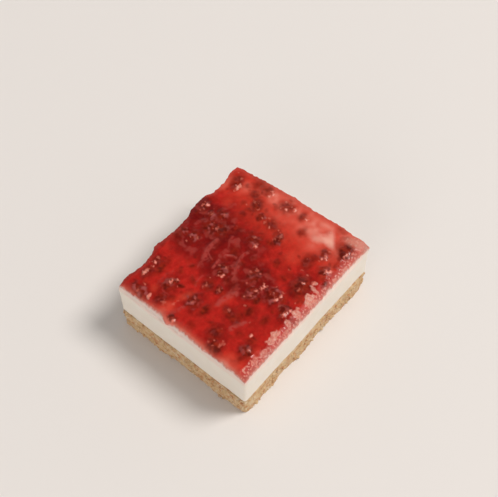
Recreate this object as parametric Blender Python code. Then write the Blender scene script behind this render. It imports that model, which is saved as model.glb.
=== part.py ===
"""A square-cut slice of chilled berry cheesecake, in metres, +Z up.

Three layers lie on each other: a pressed biscuit base, a thick layer of cream cheese and a thin set jelly
with crushed berries in it. The slice stands on its biscuit base. The origin is under the middle of the slice,
and the cut that shows all three layers best faces -Y.
"""

import math
import random

import bmesh
import bpy
from mathutils import Vector, noise

# Heights of the layers. Each layer lies GAP above the one below it.
BISCUIT_HEIGHT = 0.0104
CREAM_HEIGHT = 0.0151
JELLY_HEIGHT = 0.0024
GAP = 0.0003
CREAM_BOTTOM = BISCUIT_HEIGHT + GAP
JELLY_BOTTOM = CREAM_BOTTOM + CREAM_HEIGHT + GAP
JELLY_TOP = JELLY_BOTTOM + JELLY_HEIGHT

# Corners of the slice in plan, anticlockwise from the corner of the two plain cuts. The knife went in by eye,
# so no two sides are parallel.
CREAM_CORNERS = ((-0.0378, -0.0329), (0.0379, -0.0329), (0.0351, 0.0322), (-0.0382, 0.0301))
JELLY_CORNERS = ((-0.0375, -0.0326), (0.0382, -0.0328), (0.0349, 0.0326), (-0.0376, 0.0297))

# How far each side of the jelly strays outwards from a straight line: (share of the side, distance).
# It pulls back between the berries and stands out where one lies in the edge.
JELLY_WANDER = (
    ((0.0, 0.0), (0.5, -0.0001), (0.76, -0.0005), (0.9, -0.0004), (1.0, 0.0)),
    ((0.0, 0.0), (0.34, 0.0006), (0.43, 0.0004), (0.58, 0.0010), (0.73, 0.0007), (1.0, 0.0)),
    ((0.0, 0.0), (0.05, 0.0002), (0.14, -0.0010), (0.22, -0.0006), (0.29, 0.0012), (0.38, 0.0011),
     (0.44, -0.0002), (0.54, -0.0006), (0.64, 0.0001), (0.69, 0.0009), (0.76, -0.0008), (0.83, -0.0013),
     (0.95, 0.0002), (1.0, 0.0)),
    ((0.0, 0.0), (0.08, -0.0004), (0.24, -0.0007), (0.33, -0.0011), (0.395, 0.0007), (0.45, -0.0004),
     (0.56, -0.0004), (0.68, 0.0002), (0.75, -0.0002), (1.0, 0.0)),
)

# The layers' cut sides: corner radius, step along the sides, and the levels of the rings they are built from
CREAM_CORNER, BISCUIT_CORNER = 0.0009, 0.0019
CORNER_STEPS = 2
CREAM_STEP, BISCUIT_STEP = 0.0040, 0.0020
CREAM_RINGS = (0.0, 0.0012, 0.0055, 0.0105, 0.0139, CREAM_HEIGHT)
BISCUIT_RINGS = (0.0, 0.0009, 0.0024, 0.0042, 0.0060, 0.0078, 0.0093, BISCUIT_HEIGHT)

# Relief of the crumbly biscuit, which stands out a little under the cream: crumbs, broken lumps (their shift
# puts the hollow ones where they are seen), a foot that has crumbled away a little and a loose piece
CRUMB_SIZE, CRUMB_DEPTH = 0.0016, 0.0006
LUMP_SIZE, LUMP_DEPTH, LUMP_SHIFT = 0.0075, 0.0006, 92.87
BISCUIT_PROUD = 0.00025
FOOT_HEIGHT, FOOT_DEPTH = 0.0030, 0.0003
LOOSE_SPOT, LOOSE_REACH, LOOSE_BULGE = Vector((0.0310, -0.0329)), 0.0090, 0.0004

# Relief of the cream: the wet knife leaves it smooth, with a slow swell and softened edges
CREAM_SWELL_SIZE, CREAM_SWELL = 0.016, 0.00018
CREAM_EDGE = 0.0005

# The jelly's top: cells of about 3 mm, closer together at the edge, and how far it droops towards its front,
# right, back and left
JELLY_CELLS = (22, 19)
JELLY_CROWDING = 0.62
JELLY_EDGE_DROPS = (0.0009, 0.0002, 0.0002, 0.0004)
JELLY_EDGE_WIDTH = 0.0030
JELLY_SWELL_SIZE, JELLY_SWELL = 0.011, 0.00016

# Crushed berries that stand out of the jelly: middle x and y, length, width, turn in degrees
BERRIES = (
    (0.0285, 0.0272, 0.0080, 0.0046, 12), (0.0114, 0.0294, 0.0046, 0.0038, 0),
    (0.0095, 0.0247, 0.0040, 0.0034, 30), (0.0283, 0.0176, 0.0044, 0.0042, 0),
    (0.0331, 0.0150, 0.0050, 0.0052, 0), (0.0241, 0.0133, 0.0066, 0.0046, 25),
    (0.0212, 0.0086, 0.0048, 0.0040, -40), (0.0316, 0.0036, 0.0058, 0.0062, 0),
    (0.0212, 0.0028, 0.0052, 0.0046, 70), (0.0108, 0.0030, 0.0056, 0.0050, 50),
    (0.0173, -0.0034, 0.0056, 0.0046, 30), (0.0318, -0.0042, 0.0042, 0.0032, 0),
    (0.0232, -0.0218, 0.0052, 0.0044, 0), (0.0293, -0.0272, 0.0080, 0.0060, 15),
    (0.0172, -0.0264, 0.0046, 0.0044, 0), (0.0160, -0.0184, 0.0064, 0.0036, 25),
    (0.0062, -0.0236, 0.0096, 0.0070, 10), (-0.0066, -0.0256, 0.0070, 0.0044, 20),
    (-0.0042, -0.0180, 0.0080, 0.0056, 25), (-0.0079, -0.0113, 0.0062, 0.0054, 0),
    (-0.0015, -0.0072, 0.0070, 0.0056, 20), (-0.0249, 0.0032, 0.0066, 0.0060, 60),
    (-0.0160, 0.0036, 0.0050, 0.0046, 0), (-0.0074, 0.0034, 0.0062, 0.0052, 0),
    (-0.0246, 0.0156, 0.0072, 0.0046, -10), (-0.0314, 0.0134, 0.0060, 0.0042, -40),
    (-0.0342, 0.0218, 0.0090, 0.0044, 80), (-0.0262, 0.0256, 0.0056, 0.0036, 0),
    (-0.0205, 0.0258, 0.0044, 0.0036, 20), (-0.0355, 0.0046, 0.0034, 0.0032, 0),
    (-0.0290, -0.0118, 0.0062, 0.0042, -20), (-0.0342, -0.0154, 0.0052, 0.0056, 0),
    (-0.0203, -0.0110, 0.0076, 0.0030, 75), (-0.0280, -0.0252, 0.0054, 0.0050, 0),
    (-0.0150, -0.0010, 0.0034, 0.0030, 0), (-0.0026, 0.0226, 0.0056, 0.0040, 20),
    (0.0045, 0.0206, 0.0076, 0.0060, 40), (0.0120, 0.0206, 0.0050, 0.0036, -20),
    (0.0068, 0.0158, 0.0056, 0.0044, 0), (-0.0030, 0.0274, 0.0042, 0.0030, 80),
)
DRUPELET_RADIUS = 0.0018
DRUPELET_AREA = 8.0e-6
DRUPELET_PROUD = 0.0009
DRUPELET_FALL = 0.0005
GOLDEN_ANGLE = math.pi * (3.0 - math.sqrt(5.0))
DRUPELET_FLOOR = JELLY_BOTTOM + 0.0004
EDGE_CLEARANCE = 0.0018

SEED = 17


def material(name: str, colour: tuple, roughness: float) -> bpy.types.Material:
    """A plain non-metallic material."""
    mat = bpy.data.materials.new(name)
    mat.use_nodes = True
    shader = mat.node_tree.nodes["Principled BSDF"]
    shader.inputs["Base Color"].default_value = (*colour, 1.0)
    shader.inputs["Roughness"].default_value = roughness
    shader.inputs["Metallic"].default_value = 0.0
    return mat


def add_object(name: str, bm: bmesh.types.BMesh, mat: bpy.types.Material | None,
               collection: bpy.types.Collection) -> bpy.types.Object:
    """Turns a closed bmesh into an object with its faces pointing out."""
    bmesh.ops.recalc_face_normals(bm, faces=bm.faces)
    mesh = bpy.data.meshes.new(name)
    bm.to_mesh(mesh)
    bm.free()
    ob = bpy.data.objects.new(name, mesh)
    if mat:
        ob.data.materials.append(mat)
    collection.objects.link(ob)
    return ob


def wander(stops: tuple, share: float) -> float:
    """The outward offset at a share of a side, easing from stop to stop."""
    for (start, low), (end, high) in zip(stops, stops[1:]):
        if share <= end:
            t = (share - start) / (end - start)
            return low + (high - low) * t * t * (3.0 - 2.0 * t)
    return stops[-1][1]


def outline(corners: tuple, radius: float, step: float) -> list:
    """Points round a four-cornered slice with rounded corners, each with its outward direction."""
    points = []
    corners = [Vector(c) for c in corners]
    for i, corner in enumerate(corners):
        after, before = corners[(i + 1) % 4], corners[i - 1]
        arrive, leave = (corner - before).normalized(), (after - corner).normalized()
        half = (math.pi - arrive.angle(leave)) / 2.0
        centre = corner + (leave - arrive).normalized() * radius / math.sin(half)
        first = Vector((arrive.y, -arrive.x))
        last = Vector((leave.y, -leave.x))
        for k in range(CORNER_STEPS + 1):
            out = first.lerp(last, k / CORNER_STEPS).normalized()
            points.append((centre + out * radius, out))
        start = centre + last * radius
        trim = radius / math.tan(half)
        run = (after - corner).length - 2.0 * trim
        count = round(run / step)
        points += [(start + leave * run * k / count, last) for k in range(1, count)]
    return points


def stacked_rings(points: list, bottom: float, levels: tuple, relief) -> bmesh.types.BMesh:
    """A closed slab with flat top and bottom. relief says how far a point of its side moves outwards."""
    bm = bmesh.new()
    order = bm.verts.layers.int.new("order")
    bmesh.ops.create_circle(bm, cap_ends=True, radius=1.0, segments=len(points))
    bm.verts.ensure_lookup_table()
    for index, vert in enumerate(bm.verts):
        vert[order] = index
    cap = bm.faces[:]
    for number, level in enumerate(levels):
        if number > 0:
            moved = bmesh.ops.extrude_face_region(bm, geom=cap)["geom"]
            if number > 1:
                bmesh.ops.delete(bm, geom=cap, context="FACES_ONLY")
            cap = [item for item in moved if isinstance(item, bmesh.types.BMFace)]
        for vert in cap[0].verts:
            place, out = points[vert[order]]
            place = place + out * relief(place, level)
            vert.co = (place.x, place.y, bottom + level)
    return bm


def biscuit_relief(place: Vector, level: float) -> float:
    """Crumbs and broken lumps, a foot that has crumbled away a little, and a loose piece that bulges."""
    spot = Vector((place.x, place.y, level))
    crumbs = CRUMB_DEPTH * noise.noise(spot / CRUMB_SIZE)
    lumps = LUMP_DEPTH * noise.noise(spot / LUMP_SIZE + Vector((LUMP_SHIFT, 0.0, 0.0)))
    foot = max(0.0, 1.0 - level / FOOT_HEIGHT) ** 2
    worn = FOOT_DEPTH * foot * (0.6 + 0.8 * noise.noise(spot / LUMP_SIZE + Vector((0.0, 9.0, 0.0))))
    near = max(0.0, 1.0 - (place - LOOSE_SPOT).length / LOOSE_REACH)
    bulge = LOOSE_BULGE * near * (1.0 - (level / BISCUIT_HEIGHT) ** 2)
    return BISCUIT_PROUD + crumbs + lumps - max(0.0, worn) + bulge


def cream_relief(place: Vector, level: float) -> float:
    """A slow swell, and edges softened where the knife went in and out."""
    spot = Vector((place.x, place.y, level))
    swell = CREAM_SWELL * noise.noise(spot / CREAM_SWELL_SIZE)
    at_edge = level in (0.0, CREAM_HEIGHT)
    return swell - (CREAM_EDGE if at_edge else 0.0)


def side_point(side: int, share: float) -> Vector:
    """A point on one side of the jelly."""
    start = Vector(JELLY_CORNERS[side])
    end = Vector(JELLY_CORNERS[(side + 1) % 4])
    along = (end - start).normalized()
    out = Vector((along.y, -along.x))
    return start.lerp(end, share) + out * wander(JELLY_WANDER[side], share)


def jelly_point(u: float, w: float) -> Vector:
    """A point of the jelly in plan, blended from its four sides (u along X, w along Y, both 0 to 1)."""
    front, back = side_point(0, u), side_point(2, 1.0 - u)
    right, left = side_point(1, w), side_point(3, 1.0 - w)
    a, b, c, d = (Vector(corner) for corner in JELLY_CORNERS)
    corners = a * (1 - u) * (1 - w) + b * u * (1 - w) + c * u * w + d * (1 - u) * w
    return front.lerp(back, w) + left.lerp(right, u) - corners


def crowded(t: float) -> float:
    """Moves evenly spaced values of 0 to 1 towards both ends."""
    return t - JELLY_CROWDING * math.sin(2.0 * math.pi * t) / (2.0 * math.pi)


def edge_drop(u: float, w: float) -> float:
    """How far the jelly droops at a point, from its distances to the front, right, back and left edge."""
    width = (Vector(JELLY_CORNERS[1]) - Vector(JELLY_CORNERS[0])).length
    depth = (Vector(JELLY_CORNERS[3]) - Vector(JELLY_CORNERS[0])).length
    gaps = (w * depth, (1 - u) * width, (1 - w) * depth, u * width)
    shares = [max(0.0, 1.0 - gap / JELLY_EDGE_WIDTH) for gap in gaps]
    return max(drop * share ** 2 for drop, share in zip(JELLY_EDGE_DROPS, shares))


def jelly_sheet(collection: bpy.types.Collection, mat: bpy.types.Material) -> bpy.types.Object:
    """The set jelly without its berries: a sheet with a softly uneven top, rounded at its edge."""
    bm = bmesh.new()
    bmesh.ops.create_grid(bm, x_segments=JELLY_CELLS[0], y_segments=JELLY_CELLS[1], size=1.0)
    for vert in bm.verts:
        u, w = crowded((vert.co.x + 1.0) / 2.0), crowded((vert.co.y + 1.0) / 2.0)
        spot = jelly_point(u, w)
        swell = JELLY_SWELL * noise.noise(Vector((spot.x, spot.y, 0.0)) / JELLY_SWELL_SIZE)
        vert.co = (spot.x, spot.y, JELLY_TOP + swell - edge_drop(u, w))
    sheet = bm.faces[:]
    foot = bmesh.ops.extrude_face_region(bm, geom=sheet)["geom"]
    for vert in (item for item in foot if isinstance(item, bmesh.types.BMVert)):
        vert.co.z = JELLY_BOTTOM
    base = [item for item in foot if isinstance(item, bmesh.types.BMFace)]
    bmesh.ops.dissolve_faces(bm, faces=base, use_verts=True)
    return add_object("berry_jelly", bm, mat, collection)


def inside_jelly(spot: Vector) -> bool:
    """True if a drupelet here stays clear of the jelly's edge."""
    for side in range(4):
        start, end = Vector(JELLY_CORNERS[side]), Vector(JELLY_CORNERS[(side + 1) % 4])
        along = (end - start).normalized()
        if (spot - start).dot(Vector((-along.y, along.x))) < EDGE_CLEARANCE:
            return False
    return True


def drupelets(draw: random.Random) -> list:
    """Centres and radii of the small round cells that each crushed berry is made of, spread over its oval."""
    found = []
    for x, y, length, width, turn in BERRIES:
        angle = math.radians(turn)
        along = Vector((math.cos(angle), math.sin(angle)))
        across = Vector((-along.y, along.x))
        count = max(2, round(length * width / DRUPELET_AREA))
        start = draw.uniform(0.0, 2.0 * math.pi)
        for k in range(count):
            share = (k + 0.5) / count
            a = math.sqrt(share) * math.cos(start + k * GOLDEN_ANGLE) * length / 2.0
            b = math.sqrt(share) * math.sin(start + k * GOLDEN_ANGLE) * width / 2.0
            spot = Vector((x, y)) + along * a + across * b
            if not inside_jelly(spot):
                continue
            radius = DRUPELET_RADIUS * draw.uniform(0.85, 1.05)
            crown = JELLY_TOP + DRUPELET_PROUD - DRUPELET_FALL * share
            found.append((Vector((spot.x, spot.y, crown - radius)), radius))
    return found


def add_berries(jelly: bpy.types.Object) -> None:
    """Fuses the crushed berries to the jelly with one union, then drops what was fused."""
    draw = random.Random(SEED)
    berries = bpy.data.collections.new("crushed_berries")
    bpy.context.scene.collection.children.link(berries)
    for index, (centre, radius) in enumerate(drupelets(draw)):
        bm = bmesh.new()
        bmesh.ops.create_icosphere(bm, subdivisions=2, radius=radius)
        spin = Vector((draw.random(), draw.random(), draw.random())).to_track_quat("Z", "Y")
        for vert in bm.verts:
            vert.co = spin @ vert.co + centre
            vert.co.z = max(vert.co.z, DRUPELET_FLOOR)
        add_object(f"drupelet_{index:03d}", bm, None, berries)
    union = jelly.modifiers.new("berries", "BOOLEAN")
    union.operation = "UNION"
    union.operand_type = "COLLECTION"
    union.collection = berries
    union.solver = "EXACT"
    bpy.context.view_layer.update()
    graph = bpy.context.evaluated_depsgraph_get()
    fused = bpy.data.meshes.new_from_object(jelly.evaluated_get(graph))
    jelly.modifiers.remove(union)
    jelly.data = fused
    for ob in list(berries.objects):
        bpy.data.objects.remove(ob)
    bpy.data.collections.remove(berries)


def biscuit_base(collection: bpy.types.Collection) -> None:
    """The pressed biscuit crumb that the slice stands on."""
    points = outline(CREAM_CORNERS, BISCUIT_CORNER, BISCUIT_STEP)
    slab = stacked_rings(points, 0.0, BISCUIT_RINGS, biscuit_relief)
    add_object("biscuit_base", slab, material("baked biscuit crumb", (0.56, 0.36, 0.16), 0.9), collection)


def cream_layer(collection: bpy.types.Collection) -> None:
    """The thick layer of set cream cheese."""
    points = outline(CREAM_CORNERS, CREAM_CORNER, CREAM_STEP)
    slab = stacked_rings(points, CREAM_BOTTOM, CREAM_RINGS, cream_relief)
    add_object("cream_cheese", slab, material("set cream cheese", (0.82, 0.77, 0.66), 0.45), collection)


def main() -> None:
    """Clears the scene and builds the three layers."""
    for ob in list(bpy.data.objects):
        bpy.data.objects.remove(ob)
    cake = bpy.data.collections.new("berry_cheesecake_slice")
    bpy.context.scene.collection.children.link(cake)
    biscuit_base(cake)
    cream_layer(cake)
    jelly = jelly_sheet(cake, material("set berry jelly", (0.42, 0.012, 0.012), 0.12))
    add_berries(jelly)


main()
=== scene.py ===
"""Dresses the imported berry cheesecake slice: jelly, crushed berries, set cream cheese and pressed biscuit.

Each layer's plain solid is replaced by a fine mesh that keeps its form. Sizes and places are in millimetres in
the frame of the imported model: +X along the longer cut, -Y out of the brighter cut face, +Z up. Meshes are
turned into metres as they are made.
"""

from __future__ import annotations

import logging
import math
import random
from dataclasses import dataclass, field
from enum import Enum

import bmesh
import bpy
import numpy as np
from bmesh.types import BMEdge, BMesh, BMFace, BMVert
from bpy.types import Material, Node, NodeSocket, NodeTree, Object
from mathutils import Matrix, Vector, noise


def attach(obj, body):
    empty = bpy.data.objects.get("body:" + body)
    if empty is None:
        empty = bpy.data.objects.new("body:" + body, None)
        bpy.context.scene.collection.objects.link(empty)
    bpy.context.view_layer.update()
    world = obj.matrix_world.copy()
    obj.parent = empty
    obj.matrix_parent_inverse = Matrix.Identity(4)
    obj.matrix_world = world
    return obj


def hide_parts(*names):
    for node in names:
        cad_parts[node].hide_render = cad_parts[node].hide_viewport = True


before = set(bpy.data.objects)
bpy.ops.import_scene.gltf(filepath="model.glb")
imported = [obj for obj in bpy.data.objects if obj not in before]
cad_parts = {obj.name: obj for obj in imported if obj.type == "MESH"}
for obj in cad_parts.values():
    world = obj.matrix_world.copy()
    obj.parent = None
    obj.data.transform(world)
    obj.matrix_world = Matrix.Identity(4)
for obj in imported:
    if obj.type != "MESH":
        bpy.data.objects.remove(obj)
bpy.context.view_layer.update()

log = logging.getLogger("cheesecake")

Array = np.ndarray

MM = 0.001
FULL_TURN = 6.28
BODY = "root"

# Levels of the layers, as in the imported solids
BISCUIT_TOP = 10.4
CREAM_BOTTOM = 10.7
CREAM_TOP = 25.8
JELLY_TOP = 28.5

# Corners of the slice in plan, anticlockwise from the corner of the two plain cuts
CREAM_CORNERS = ((-37.8, -32.9), (37.9, -32.9), (35.1, 32.2), (-38.2, 30.1))
JELLY_CORNERS = ((-37.5, -32.6), (38.2, -32.8), (34.9, 32.6), (-37.6, 29.7))

# Its rough extent along X and along Y
SPAN = (JELLY_CORNERS[1][0] - JELLY_CORNERS[0][0], JELLY_CORNERS[3][1] - JELLY_CORNERS[0][1])

# How far each side of the jelly strays outwards: (share of the side, distance), front, right, back, left
JELLY_WANDER = (
    ((0, 0), (0.5, -0.1), (0.76, -0.5), (0.9, -0.4), (1, 0)),
    ((0, 0), (0.05, 0.3), (0.34, 0.95), (0.43, 0.8), (0.58, 1.4), (0.73, 1.1), (0.95, 0.4), (1, 0)),
    ((0, 0), (0.05, 0.3), (0.14, -0.9), (0.22, -0.5), (0.29, 1.3), (0.38, 1.2), (0.44, -0.1), (0.54, -0.4),
     (0.64, 0.3), (0.69, 1.1), (0.76, -0.6), (0.83, -1.1), (0.95, 0.3), (1, 0)),
    ((0, 0), (0.08, -0.4), (0.24, -0.7), (0.33, -1.1), (0.395, 0.7), (0.45, -0.4), (0.56, -0.4), (0.68, 0.2),
     (0.75, -0.2), (1, 0)),
)

# Slots of a Mix node: its factor, the two colours or the two numbers that it mixes, and the mixed colour
MIX_FACTOR, MIX_A, MIX_B, MIX_RESULT = 0, 6, 7, 2
NUMBER_A, NUMBER_B = 2, 3


class Lie(Enum):
    """How a crushed berry lies in the jelly."""

    PROUD = "stands out of the jelly, bare and wet"
    SMOOTH = "stands out under a whole film of jelly, dark and smooth"
    # Its milky skin is partly a painted soft sheen on the crown
    FROSTED = "stands out under a torn, milky skin"
    SUNK = "lies under the jelly and only darkens it"


PROUD, SMOOTH, FROSTED, SUNK = Lie


def linear(code: str) -> tuple[float, float, float, float]:
    """Turns an sRGB hex colour into linear RGBA.

    Args:
        code: Six hex digits, such as "b41e1a".

    Returns:
        The colour as linear red, green and blue, with an alpha of 1.
    """
    parts = [int(code[i:i + 2], 16) / 255.0 for i in (0, 2, 4)]
    return (*[c / 12.92 if c <= 0.04045 else ((c + 0.055) / 1.055) ** 2.4 for c in parts], 1.0)


def feed(tree: NodeTree, node: Node, inputs: dict) -> None:
    """Sets or links some of a node's inputs.

    Args:
        tree: The tree that it is in.
        node: The node.
        inputs: Socket name or number to a value, or to an output socket to link from.
    """
    for socket, value in inputs.items():
        if isinstance(value, NodeSocket):
            tree.links.new(value, node.inputs[socket])
        else:
            node.inputs[socket].default_value = value


def add_node(tree: NodeTree, kind: str, inputs: dict | None = None, out: int | str = 0,
             **settings: object) -> NodeSocket:
    """Adds a node with its settings, values and links.

    Args:
        tree: The tree to add it to.
        kind: The node's type name, after ShaderNode.
        inputs: What goes into it, as for feed.
        out: Name or number of the output that is wanted.
        settings: Properties of the node.

    Returns:
        That output of the new node.
    """
    node = tree.nodes.new("ShaderNode" + kind)
    for name, value in settings.items():
        setattr(node, name, value)
    feed(tree, node, inputs or {})
    return node.outputs[out]


def new_finish(name: str) -> tuple[Material, NodeTree, Node, NodeSocket]:
    """Starts a material.

    Args:
        name: What the real finish is.

    Returns:
        The material, its tree, its shader and a place in the object's own coordinates.
    """
    mat = bpy.data.materials.new(name)
    mat.use_nodes = True
    tree = mat.node_tree
    return mat, tree, tree.nodes["Principled BSDF"], add_node(tree, "TexCoord", out="Object")


def smooth(low: float, high: float, value: Array) -> Array:
    """Eases from 0 at low to 1 at high, also where high is the smaller."""
    t = np.clip((value - low) / (high - low), 0.0, 1.0)
    return t * t * (3.0 - 2.0 * t)


def drift(x: Array, y: Array, size: float, shift: float = 0.0) -> Array:
    """Smooth noise of about -1 to 1.

    Args:
        x: Points' X in mm.
        y: Points' Y in mm.
        size: Size of its features in mm.
        shift: Picks another pattern.

    Returns:
        One value for each point.
    """
    return np.array([noise.noise((a / size, b / size, shift)) for a, b in zip(x, y)])


def eased(stops: tuple, share: Array) -> Array:
    """Reads a value that eases from stop to stop.

    Args:
        stops: (place, value) pairs in rising order of place.
        share: The places to read.

    Returns:
        The value at each place.
    """
    marks, values = np.array(stops).T
    k = np.clip(np.searchsorted(marks, share, side="right") - 1, 0, len(marks) - 2)
    t = smooth(0.0, 1.0, (share - marks[k]) / (marks[k + 1] - marks[k]))
    return values[k] + (values[k + 1] - values[k]) * t


def add_piece(name: str, bm: BMesh, finish: Material,
              node: str | None = None) -> Object:
    """Turns a bmesh in millimetres into a piece of the slice.

    Args:
        name: The piece's name.
        bm: Its shape, which is freed.
        finish: Its material.
        node: The solid that it replaces, if any.

    Returns:
        The new object, in metres, riding on the slice.
    """
    bmesh.ops.scale(bm, vec=(MM, MM, MM), verts=bm.verts)
    bmesh.ops.recalc_face_normals(bm, faces=bm.faces)
    mesh = bpy.data.meshes.new(name)
    bm.to_mesh(mesh)
    bm.free()
    mesh.shade_smooth()
    mesh.materials.append(finish)
    piece = bpy.data.objects.new(name, mesh)
    bpy.context.scene.collection.objects.link(piece)
    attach(piece, BODY)
    if node:
        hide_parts(node)
    log.info("%s: %d faces", name, len(mesh.polygons))
    return piece


@dataclass(frozen=True)
class Oval:
    """A turned oval in plan, with a strength (mm and degrees)."""

    x: float
    y: float
    length: float
    width: float
    turn: float = 0.0
    strength: float = 1.0

    def reach(self, x: Array, y: Array) -> Array:
        """Distance from its middle, where 1 is its outline."""
        c, s = math.cos(math.radians(self.turn)), math.sin(math.radians(self.turn))
        along = ((x - self.x) * c + (y - self.y) * s) * 2.0 / self.length
        across = ((y - self.y) * c - (x - self.x) * s) * 2.0 / self.width
        return np.hypot(along, across)


@dataclass(frozen=True)
class Berry(Oval):
    """One crushed berry, or a torn piece of one."""

    lie: Lie = PROUD


@dataclass(frozen=True)
class Fibre:
    """A pale strand of pulp just under the surface (mm)."""

    x0: float
    y0: float
    x1: float
    y1: float
    width: float
    bend: float = 0.0
    strength: float = 1.0

    def cover(self, x: Array, y: Array) -> Array:
        """How much of it shows at each point, up to its strength."""
        dx, dy = self.x1 - self.x0, self.y1 - self.y0
        length = math.hypot(dx, dy)
        share = ((x - self.x0) * dx + (y - self.y0) * dy) / length ** 2
        t = np.clip(share, 0.0, 1.0)
        across = ((y - self.y0) * dx - (x - self.x0) * dy) / length - self.bend * 4.0 * t * (1.0 - t)
        beyond = (share - t) * length
        return self.strength * smooth(1.0, 0.2, np.hypot(across, beyond) / self.width)


@dataclass(frozen=True)
class Waver:
    """Smooth noise: how much, how large its features are (mm) and which pattern."""

    amount: float
    size: float
    shift: float = 0.0

    def at(self, x: Array, y: Array) -> Array:
        """Reads it at each point."""
        return self.amount * drift(x, y, self.size, self.shift)


@dataclass
class Spots:
    """Points of the jelly: shares along X and Y, place (mm), and how far down the cut side, 0 to 1."""

    u: Array
    w: Array
    x: Array
    y: Array
    down: Array

    def __post_init__(self) -> None:
        """Adds noise of three sizes, and the distance from the front, right, back and left side."""
        wide, deep = SPAN
        self.rims = np.array([self.w * deep, (1.0 - self.u) * wide, (1.0 - self.w) * deep, self.u * wide])
        self.wave, self.mid, self.fine = (drift(self.x, self.y, size, shift)
                                          for size, shift in ((5.0, 7.0), (2.4, 27.0), (1.3, 9.0)))


@dataclass(frozen=True)
class Edge:
    """How an oval fades: the reach where it starts and where it is full, and how far each noise shakes it."""

    start: float
    full: float
    wave: float = 0.0
    mid: float = 0.0
    fine: float = 0.0

    def cover(self, oval: Oval, spots: Spots) -> Array:
        """How much of an oval there is at each point, up to its strength."""
        shake = self.wave * spots.wave + self.mid * spots.mid + self.fine * spots.fine
        return oval.strength * smooth(self.start, self.full, oval.reach(spots.x, spots.y) + shake)

    def strongest(self, patches: tuple[Oval, ...], spots: Spots) -> Array:
        """The strongest of several ovals at each point."""
        return np.max([self.cover(oval, spots) for oval in patches], axis=0)


def ovals(*rows: tuple) -> tuple[Oval, ...]:
    """Makes an oval of each row: X, Y, length, width, turn and strength."""
    return tuple(Oval(*row) for row in rows)


def between(corners: tuple, u: Array, w: Array) -> list[Array]:
    """X and Y of places between four corners, at shares u along X and w along Y."""
    return [a * (1 - u) * (1 - w) + b * u * (1 - w) + c * u * w + d * (1 - u) * w
            for a, b, c, d in zip(*corners)]


# Crushed berries: X, Y, length, width, turn, how far it stands out, and lie
BERRIES = tuple(Berry(*row) for row in (
    (28.5, 27.2, 8, 4.6, 12, 0.7, SUNK), (11.4, 29.4, 4.6, 3.8, 0, 0.7, PROUD),
    (9.5, 24.7, 4, 3.4, 30, 0.6, FROSTED), (28.3, 17.6, 4.4, 4.2, 0, 0.4, SUNK),
    (33.1, 15, 5, 5.2, 0, 0.7, SUNK), (24.1, 13.3, 6.6, 4.6, 25, 0.8, SUNK),
    (21.2, 8.6, 4.8, 4, -40, 0.5, FROSTED), (31.6, 3.6, 5.8, 6.2, 0, 0.9, SUNK),
    (21.2, 2.8, 5.2, 4.6, 70, 0.5, SUNK), (10.8, 3, 5.6, 5, 50, 0.8, FROSTED),
    (17.3, -3.4, 5.6, 4.6, 30, 0.6, PROUD), (31.8, -4.2, 4.2, 3.2, 0, 0.5, SUNK),
    (23.2, -21.8, 5.2, 4.4, 0, 0.8, FROSTED), (29.3, -27.2, 8, 6.4, 15, 1, SMOOTH),
    (17.2, -26.4, 4.6, 4.4, 0, 0.8, PROUD), (16, -18.4, 6.4, 3.6, 25, 0.4, SUNK),
    (6.2, -23.6, 9.6, 7, 10, 1, SMOOTH), (-6.6, -25.6, 7, 4.4, 20, 0.9, PROUD),
    (-4.2, -18, 8, 5.6, 25, 0.9, FROSTED), (-7.9, -11.3, 6.2, 5.4, 0, 0.8, FROSTED),
    (-1.5, -7.2, 7, 5.6, 20, 0.7, PROUD), (-24.9, 3.2, 6.6, 6, 60, 0.9, FROSTED),
    (-16, 3.6, 5, 4.6, 0, 0.4, SUNK), (-7.4, 3.4, 6.2, 5.2, 0, 0.8, PROUD),
    (-24.6, 15.6, 7.2, 4.6, -10, 0.9, PROUD), (-31.4, 13.4, 6, 4.2, -40, 0.5, SUNK),
    (-34.2, 21.8, 9, 4.4, 80, 0.8, FROSTED), (-26.2, 25.6, 5.6, 3.6, 0, 0.6, SUNK),
    (-20.5, 25.8, 4.4, 3.6, 20, 0.6, SUNK), (-35.5, 4.6, 3.4, 3.2, 0, 0.7, PROUD),
    (-29.4, -11.8, 6.2, 4.8, -20, 0.7, SUNK), (-34.2, -15.4, 5.6, 5.6, 0, 0.8, SMOOTH),
    (-20.5, -11.6, 9, 3.4, 75, 0.5, SUNK), (-28, -25.2, 5.4, 5, 0, 0.8, PROUD),
    (-15, -1, 3.4, 3, 0, 0.5, PROUD), (-2.6, 22.6, 5.6, 4, 20, 0.6, FROSTED),
    (4.5, 20.6, 7.6, 6, 40, 0.8, FROSTED), (12, 20.6, 5, 3.6, -20, 0.6, FROSTED),
    (6.8, 15.8, 5.6, 4.4, 0, 0.6, PROUD), (-3, 27.4, 4.2, 3, 80, 0.5, FROSTED),
))

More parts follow.
